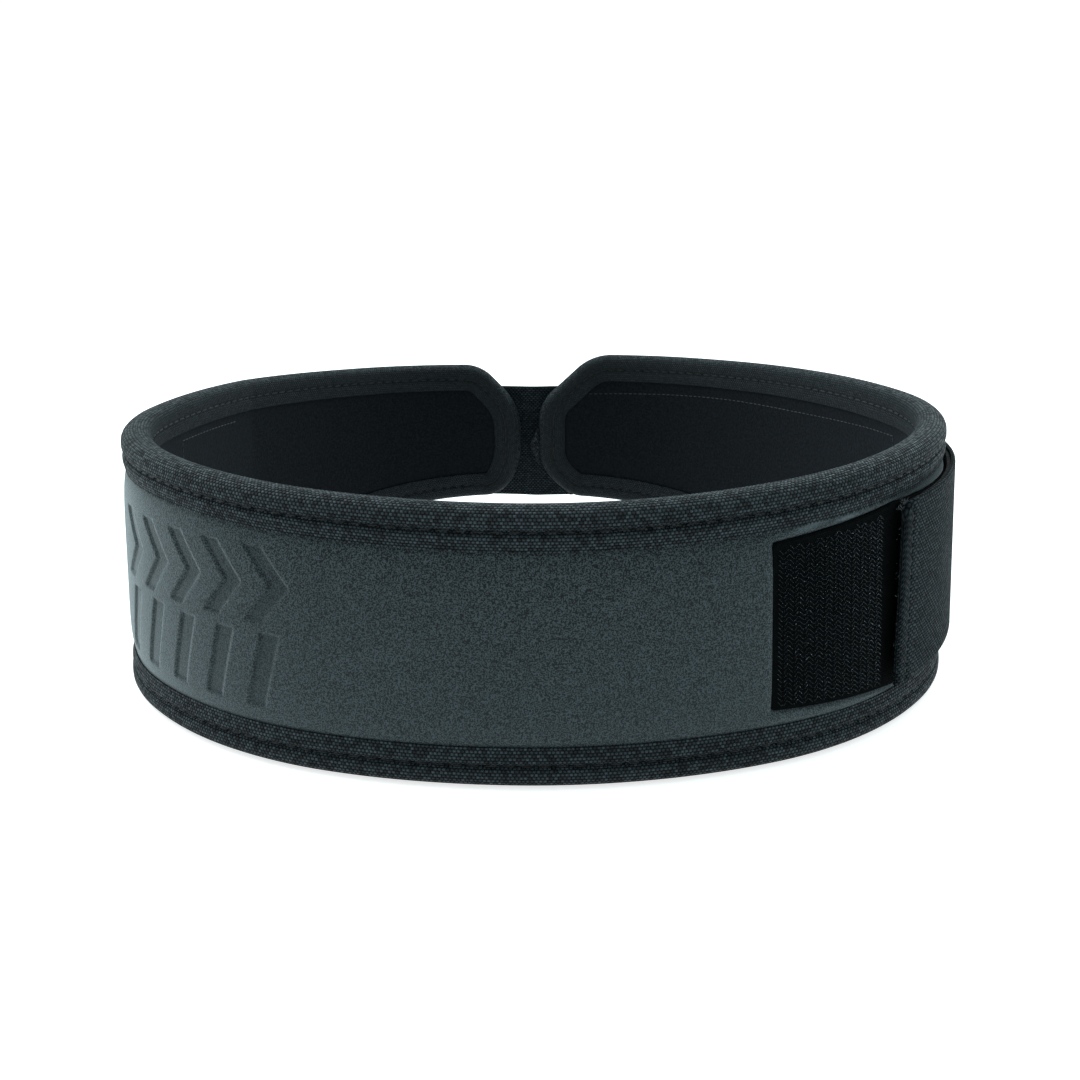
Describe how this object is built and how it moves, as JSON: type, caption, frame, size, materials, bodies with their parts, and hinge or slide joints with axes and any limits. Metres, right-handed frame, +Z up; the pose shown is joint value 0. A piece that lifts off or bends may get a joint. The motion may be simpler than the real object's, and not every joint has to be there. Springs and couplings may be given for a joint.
{
  "type": "weightlifting belt",
  "caption": "Padded foam-cored belt curled to a waist, bound at its edges, closed by a wide webbing strap on a slide-bar buckle and a hook patch.",
  "frame": {"origin": "on the table under the middle of the belt's bounding box", "axes": "+X to the wearer's side where the strap's free end lies, +Y from the belt's back to its closure, +Z up"},
  "size_m": [0.3582, 0.3404, 0.1091],
  "materials": {
    "shell_fabric": "matte brushed knit",
    "lining_fabric": "matte knit",
    "binding_tape": "matte twill tape",
    "hook_tape": "nylon hook tape",
    "strap_webbing": "nylon webbing",
    "buckle_plastic": "satin black"
  },
  "bodies": {
    "root": {"padded_shell": "shell_fabric", "lining": "lining_fabric", "edge_binding": "binding_tape", "tape_lap": "binding_tape", "hook_patch": "hook_tape", "loop_patch": "hook_tape", "closing_strap": "strap_webbing", "slide_buckle": "buckle_plastic", "buckle_anchor": "strap_webbing"}
  },
  "joints": []
}
